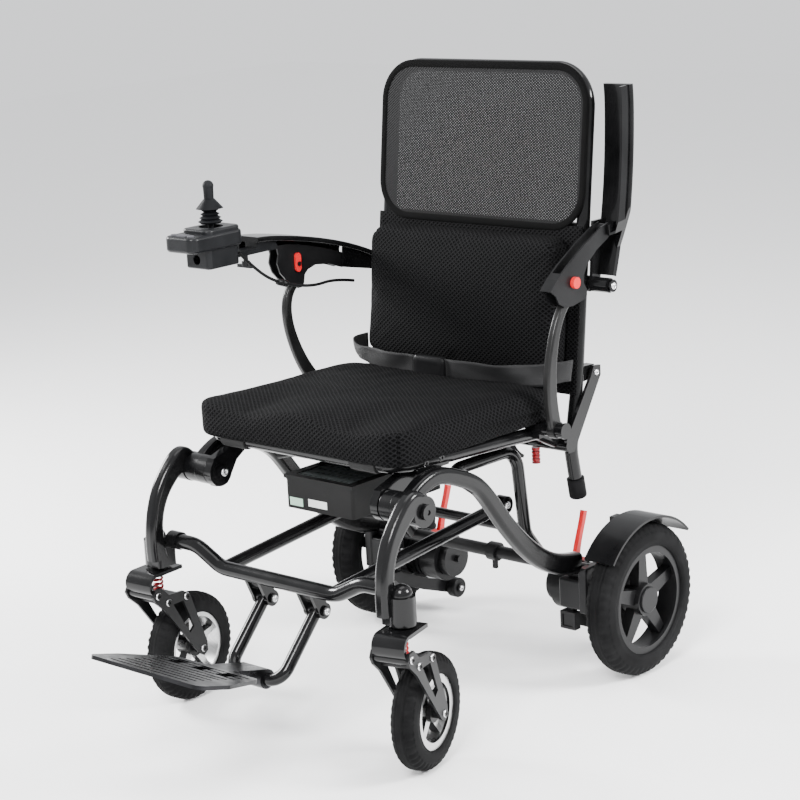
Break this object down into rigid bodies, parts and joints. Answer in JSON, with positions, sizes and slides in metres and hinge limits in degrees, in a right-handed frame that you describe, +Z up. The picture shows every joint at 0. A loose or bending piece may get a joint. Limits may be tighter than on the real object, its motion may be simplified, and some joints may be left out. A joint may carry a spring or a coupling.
{
  "type": "folding power wheelchair",
  "caption": "Folding power wheelchair: curved folding frame, padded mesh seat and back, joystick, flip-up arms, sprung casters and footrest.",
  "frame": {"origin": "on the floor, below the middle of the bounding box", "axes": "+Z up, the chair faces -Y, its left side is +X"},
  "size_m": [0.623, 0.9652, 1.003],
  "materials": {
    "frame_gloss": "gloss",
    "rail_satin": "satin",
    "steel": "satin",
    "tyre": "matte",
    "rim_black": "satin",
    "rim_silver": "satin",
    "black_plastic": "matte",
    "red_plastic": "satin",
    "rubber": "matte",
    "air_mesh": "matte",
    "webbing": "matte",
    "plate_alu": "satin"
  },
  "bodies": {
    "rear_frame": {"side_rails": "rail_satin", "hinge_pins": "steel", "rear_loops": "frame_gloss", "rear_beam": "frame_gloss", "drive_units": "frame_gloss", "fenders": "black_plastic", "tip_arms": "frame_gloss"},
    "tip_roller_l": {"tip_roller_left": "rubber"},
    "tip_roller_r": {"tip_roller_right": "rubber"},
    "clutch_l": {"clutch_lever_left": "red_plastic"},
    "clutch_r": {"clutch_lever_right": "red_plastic"},
    "rear_wheel_l": {"rear_tyre_left": "tyre", "rear_wheel_left": "rim_black"},
    "rear_wheel_r": {"rear_tyre_right": "tyre", "rear_wheel_right": "rim_black"},
    "front_frame": {"front_legs": "frame_gloss", "front_crossbar": "frame_gloss", "lower_rails": "frame_gloss"},
    "foot_swing": {"foot_tube": "frame_gloss"},
    "foot_board": {"foot_plate": "plate_alu"},
    "seat": {"lap_straps": "webbing", "belt_buckle": "black_plastic", "seat_frame": "frame_gloss", "seat_links": "frame_gloss", "seat_cushion": "air_mesh", "battery_pack": "black_plastic", "seat_bumper": "red_plastic"},
    "latch": {"latch_lever": "black_plastic"},
    "backrest": {"back_frame": "frame_gloss", "post_caps": "rubber", "back_mesh": "air_mesh", "back_sling": "webbing", "back_cushion": "air_mesh"},
    "sleeves": {"arm_sleeves": "frame_gloss"},
    "bushes": {"bow_bushes": "frame_gloss"},
    "pad_l": {"arm_pad_left": "frame_gloss"},
    "pad_r": {"arm_pad_right": "frame_gloss", "controller_case": "black_plastic", "controller_lead": "rubber"},
    "bracket_l": {"arm_bracket_left": "frame_gloss"},
    "bracket_r": {"arm_bracket_right": "frame_gloss"},
    "release_l": {"arm_latch_left": "red_plastic"},
    "release_r": {"arm_latch_right": "red_plastic"},
    "bow_l": {"arm_bow_left": "rail_satin"},
    "bow_r": {"arm_bow_right": "rail_satin"},
    "gimbal": {"joystick_gimbal": "black_plastic"},
    "stick": {"joystick": "rubber"},
    "power": {"power_button": "black_plastic"},
    "horn": {"horn_button": "black_plastic"},
    "speed": {"speed_rocker": "black_plastic"},
    "fork_l": {"caster_fork_left": "frame_gloss", "caster_spring_left": "red_plastic"},
    "swing_l": {"swing_arm_left": "frame_gloss"},
    "front_wheel_l": {"front_tyre_left": "tyre", "front_rim_left": "rim_silver"},
    "fork_r": {"caster_fork_right": "frame_gloss", "caster_spring_right": "red_plastic"},
    "swing_r": {"swing_arm_right": "frame_gloss"},
    "front_wheel_r": {"front_tyre_right": "tyre", "front_rim_right": "rim_silver"}
  },
  "joints": [
    {"name": "front_fold", "type": "hinge", "parent": "rear_frame", "child": "front_frame", "pos_m": [0, -0.13737, 0.398], "axis": [1, 0, 0], "range_deg": [0, 30]},
    {"name": "seat_lift", "type": "hinge", "parent": "rear_frame", "child": "seat", "pos_m": [0, -0.13737, 0.398], "axis": [1, 0, 0], "range_deg": [0, 41]},
    {"name": "backrest_fold", "type": "hinge", "parent": "seat", "child": "backrest", "pos_m": [0, 0.33264, 0.508], "axis": [1, 0, 0], "range_deg": [0, 64], "deforming": ["back_cushion", "lap_straps", "belt_buckle"]},
    {"name": "arm_level", "type": "hinge", "parent": "backrest", "child": "sleeves", "pos_m": [0, 0.33264, 0.653], "axis": [1, 0, 0], "range_deg": [-64.5, 0]},
    {"name": "bow_level", "type": "hinge", "parent": "seat", "child": "bushes", "pos_m": [0, 0.19664, 0.445], "axis": [1, 0, 0], "range_deg": [0, 37]},
    {"name": "arm_flip_left", "type": "hinge", "parent": "sleeves", "child": "pad_l", "pos_m": [0, 0.33264, 0.653], "axis": [1, 0, 0], "range_deg": [0, 83.7]},
    {"name": "arm_flip_right", "type": "hinge", "parent": "sleeves", "child": "pad_r", "pos_m": [0, 0.33264, 0.653], "axis": [1, 0, 0], "range_deg": [-83.7, 0]},
    {"name": "bracket_left", "type": "hinge", "parent": "pad_l", "child": "bracket_l", "pos_m": [0, 0.33913, 0.74275], "axis": [1, 0, 0], "range_deg": [-127.5, 0]},
    {"name": "bracket_right", "type": "hinge", "parent": "pad_r", "child": "bracket_r", "pos_m": [0, 0.24413, 0.6693], "axis": [1, 0, 0], "range_deg": [0, 127.5]},
    {"name": "bow_left", "type": "hinge", "parent": "bushes", "child": "bow_l", "pos_m": [0, 0.19664, 0.445], "axis": [1, 0, 0], "range_deg": [0, 37.1]},
    {"name": "bow_right", "type": "hinge", "parent": "bushes", "child": "bow_r", "pos_m": [0, 0.19664, 0.445], "axis": [1, 0, 0], "range_deg": [-37.1, 0]},
    {"name": "release_left", "type": "hinge", "parent": "bracket_l", "child": "release_l", "pos_m": [0, 0.24333, 0.67293], "axis": [1, 0, 0], "range_deg": [0, 18], "stiffness_Nm_per_rad": 0.3, "springref_deg": -17.19},
    {"name": "release_right", "type": "hinge", "parent": "bracket_r", "child": "release_r", "pos_m": [0, 0.12663, 0.685], "axis": [1, 0, 0], "range_deg": [0, 18], "stiffness_Nm_per_rad": 0.3, "springref_deg": -17.19},
    {"name": "foot_swing", "type": "hinge", "parent": "front_frame", "child": "foot_swing", "pos_m": [0, -0.17036, 0.22], "axis": [1, 0, 0], "range_deg": [0, 30]},
    {"name": "foot_flip", "type": "hinge", "parent": "foot_swing", "child": "foot_board", "pos_m": [0, -0.25837, 0.128], "axis": [1, 0, 0], "range_deg": [-80, 0]},
    {"name": "latch", "type": "hinge", "parent": "seat", "child": "latch", "pos_m": [0, 0.22264, 0.421], "axis": [1, 0, 0], "range_deg": [0, 12], "stiffness_Nm_per_rad": 1, "springref_deg": -22.92},
    {"name": "clutch_left", "type": "hinge", "parent": "rear_frame", "child": "clutch_l", "pos_m": [0, 0.35464, 0.128], "axis": [1, 0, 0], "range_deg": [-35, 0]},
    {"name": "clutch_right", "type": "hinge", "parent": "rear_frame", "child": "clutch_r", "pos_m": [0, 0.35464, 0.128], "axis": [1, 0, 0], "range_deg": [-35, 0]},
    {"name": "tip_roller_left", "type": "hinge", "parent": "rear_frame", "child": "tip_roller_l", "pos_m": [0.18, 0.42364, 0.044], "axis": [1, 0, 0], "continuous": true},
    {"name": "tip_roller_right", "type": "hinge", "parent": "rear_frame", "child": "tip_roller_r", "pos_m": [-0.18, 0.42364, 0.044], "axis": [1, 0, 0], "continuous": true},
    {"name": "rear_wheel_left", "type": "hinge", "parent": "rear_frame", "child": "rear_wheel_l", "pos_m": [0.2815, 0.35464, 0.128], "axis": [1, 0, 0], "continuous": true},
    {"name": "rear_wheel_right", "type": "hinge", "parent": "rear_frame", "child": "rear_wheel_r", "pos_m": [-0.2815, 0.35464, 0.128], "axis": [1, 0, 0], "continuous": true},
    {"name": "joystick_side", "type": "hinge", "parent": "pad_r", "child": "gimbal", "pos_m": [-0.243, -0.05337, 0.762], "axis": [1, 0, 0], "range_deg": [-10, 10], "stiffness_Nm_per_rad": 0.25},
    {"name": "joystick_fore", "type": "hinge", "parent": "gimbal", "child": "stick", "pos_m": [-0.243, -0.05337, 0.762], "axis": [0, 1, 0], "range_deg": [-10, 10], "stiffness_Nm_per_rad": 0.25},
    {"name": "power_button", "type": "slide", "parent": "pad_r", "child": "power", "axis": [0, 0, -1], "range_m": [0, 0.0014], "stiffness_N_per_m": 400, "springref_m": -0.002},
    {"name": "horn_button", "type": "slide", "parent": "pad_r", "child": "horn", "axis": [0, 0, -1], "range_m": [0, 0.0014], "stiffness_N_per_m": 400, "springref_m": -0.002},
    {"name": "speed_rocker", "type": "hinge", "parent": "pad_r", "child": "speed", "pos_m": [-0.243, -0.11537, 0.767], "axis": [0, 1, 0], "range_deg": [-5, 5], "stiffness_Nm_per_rad": 0.05},
    {"name": "caster_left", "type": "hinge", "parent": "front_frame", "child": "fork_l", "pos_m": [0.2635, -0.20386, 0], "axis": [0, 0, 1], "continuous": true},
    {"name": "swing_left", "type": "hinge", "parent": "fork_l", "child": "swing_l", "pos_m": [0.27269, -0.24074, 0.207], "axis": [0.9703, 0.2419, 0], "range_deg": [0, 8], "stiffness_Nm_per_rad": 60, "springref_deg": -8.59, "deforming": ["caster_spring_left"]},
    {"name": "front_wheel_left", "type": "hinge", "parent": "swing_l", "child": "front_wheel_l", "pos_m": [0.24983, -0.14904, 0.09], "axis": [0.9703, 0.2419, 0], "continuous": true},
    {"name": "caster_right", "type": "hinge", "parent": "front_frame", "child": "fork_r", "pos_m": [-0.2635, -0.20386, 0], "axis": [0, 0, 1], "continuous": true},
    {"name": "swing_right", "type": "hinge", "parent": "fork_r", "child": "swing_r", "pos_m": [-0.26085, -0.24177, 0.207], "axis": [0.9976, 0.0698, 0], "range_deg": [0, 8], "stiffness_Nm_per_rad": 60, "springref_deg": -8.59, "deforming": ["caster_spring_right"]},
    {"name": "front_wheel_right", "type": "hinge", "parent": "swing_r", "child": "front_wheel_r", "pos_m": [-0.26744, -0.1475, 0.09], "axis": [0.9976, 0.0698, 0], "continuous": true}
  ],
  "couplings": [
    {"joint": "seat_lift", "follows": "front_fold", "ratio": 1.35},
    {"joint": "arm_level", "follows": "backrest_fold", "ratio": -1},
    {"joint": "bow_level", "follows": "backrest_fold", "ratio": 0.572},
    {"joint": "bracket_left", "follows": "arm_flip_left", "ratio": -1.522},
    {"joint": "bracket_right", "follows": "arm_flip_right", "ratio": -1.522},
    {"joint": "bow_left", "follows": "arm_flip_left", "ratio": 0.442},
    {"joint": "bow_right", "follows": "arm_flip_right", "ratio": 0.442}
  ]
}
